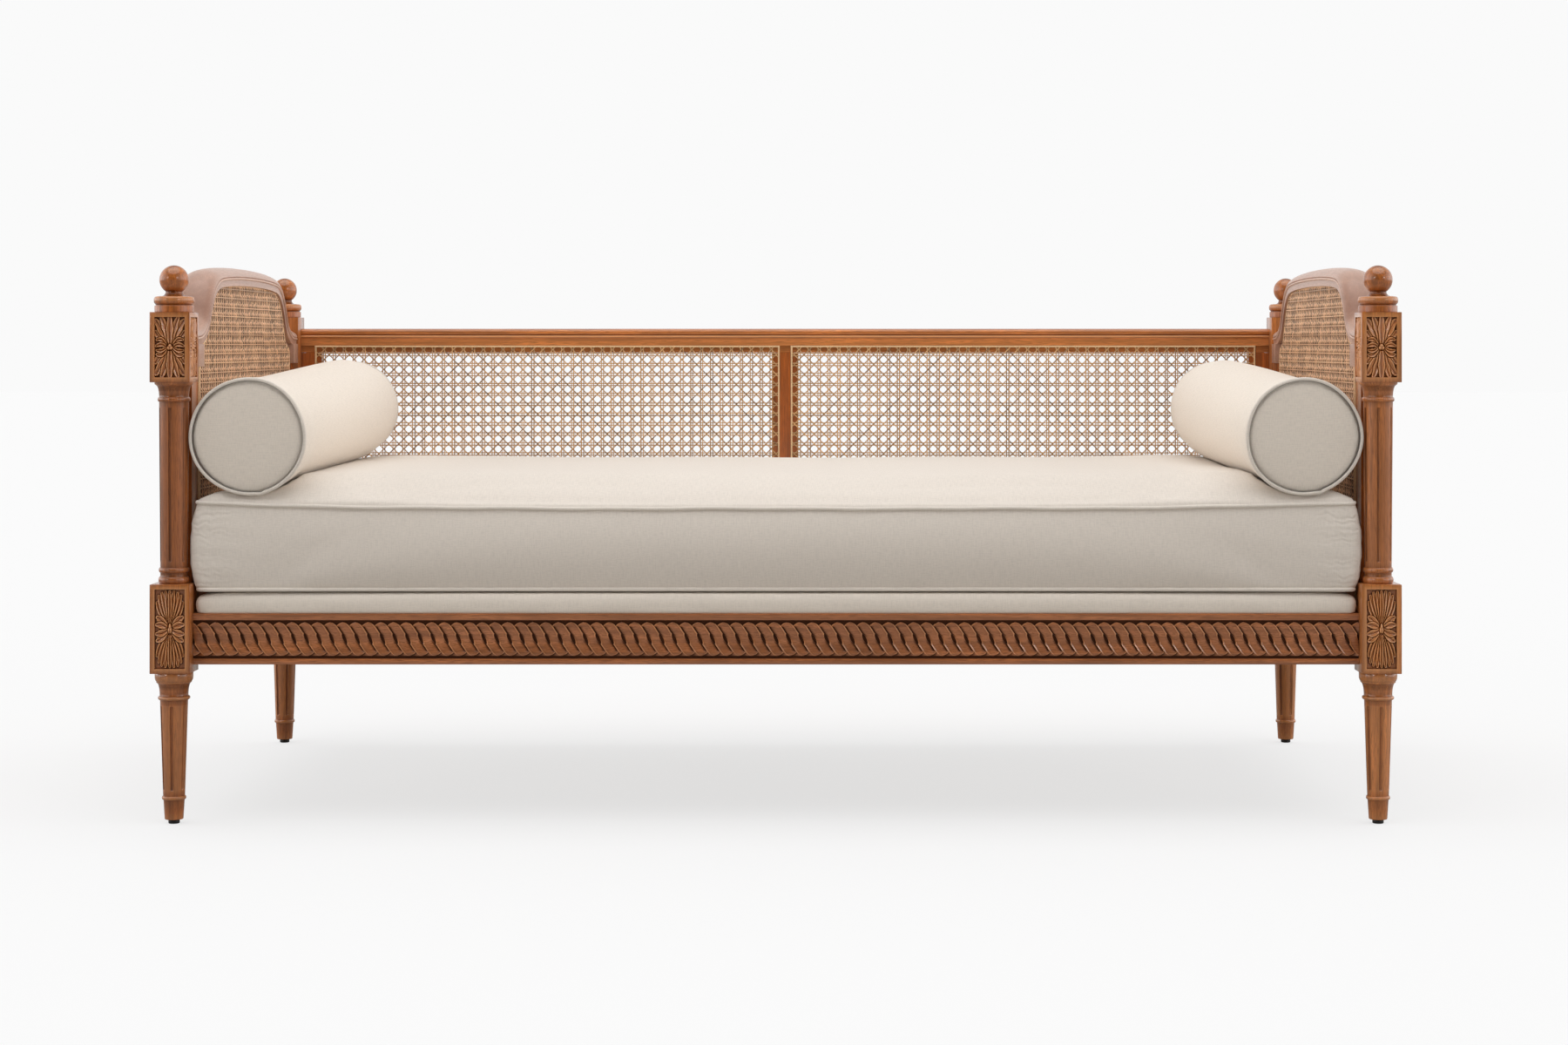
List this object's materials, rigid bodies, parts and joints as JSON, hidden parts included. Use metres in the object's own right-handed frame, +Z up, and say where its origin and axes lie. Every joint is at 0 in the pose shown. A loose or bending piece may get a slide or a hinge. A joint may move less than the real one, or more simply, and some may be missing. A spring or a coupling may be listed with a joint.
{
  "type": "recamier",
  "caption": "Cane-panelled wooden daybed with turned carved posts, arched cane ends, a low cane back, a box seat cushion and bolsters.",
  "frame": {"origin": "on the floor, under the middle of the frame", "axes": "+Z up, front faces -Y, +X to the right along the seat"},
  "size_m": [2.03, 1, 0.917],
  "materials": {
    "stained_oak": "warm brown stain under satin lacquer",
    "inner_wood": "unfinished planed softwood",
    "plywood": "unfinished birch plywood",
    "cane": "natural woven rattan cane, slightly glossy skin",
    "linen": "plain woven greige linen",
    "glide": "matt black moulded glide"
  },
  "bodies": {
    "root": {"front_left_post": "stained_oak", "front_left_finial": "stained_oak", "front_left_glide": "glide", "rear_left_post": "stained_oak", "rear_left_finial": "stained_oak", "rear_left_glide": "glide", "front_right_post": "stained_oak", "front_right_finial": "stained_oak", "front_right_glide": "glide", "rear_right_post": "stained_oak", "rear_right_finial": "stained_oak", "rear_right_glide": "glide", "front_seat_rail": "stained_oak", "rear_seat_rail": "stained_oak", "left_seat_rail": "stained_oak", "right_seat_rail": "stained_oak", "front_ledger": "inner_wood", "rear_ledger": "inner_wood", "bearer_1": "inner_wood", "bearer_2": "inner_wood", "bearer_3": "inner_wood", "front_left_corner_block": "inner_wood", "rear_left_corner_block": "inner_wood", "front_right_corner_block": "inner_wood", "rear_right_corner_block": "inner_wood", "back_left_stile": "stained_oak", "back_centre_stile": "stained_oak", "back_right_stile": "stained_oak", "back_top_rail": "stained_oak", "back_bottom_rail": "stained_oak", "back_left_spline": "stained_oak", "back_left_cane": "cane", "back_right_spline": "stained_oak", "back_right_cane": "cane", "left_crest_rail": "stained_oak", "left_end_front_stile": "stained_oak", "left_end_rear_stile": "stained_oak", "left_end_bottom_rail": "stained_oak", "left_end_spline": "stained_oak", "left_end_cane": "cane", "right_crest_rail": "stained_oak", "right_end_front_stile": "stained_oak", "right_end_rear_stile": "stained_oak", "right_end_bottom_rail": "stained_oak", "right_end_spline": "stained_oak", "right_end_cane": "cane", "deck_pad": "linen", "deck_board": "plywood"},
    "cushion": {"seat_cushion": "linen"},
    "bolster_left": {"left_bolster": "linen"},
    "bolster_right": {"right_bolster": "linen"}
  },
  "joints": [
    {"name": "cushion_lift", "type": "slide", "parent": "root", "child": "cushion", "axis": [0, 0, 1], "range_m": [0, 0.05]},
    {"name": "left_bolster_lift", "type": "slide", "parent": "cushion", "child": "bolster_left", "axis": [0.2588, 0, 0.9659], "range_m": [0, 0.25]},
    {"name": "right_bolster_lift", "type": "slide", "parent": "cushion", "child": "bolster_right", "axis": [-0.2588, 0, 0.9659], "range_m": [0, 0.25]}
  ]
}
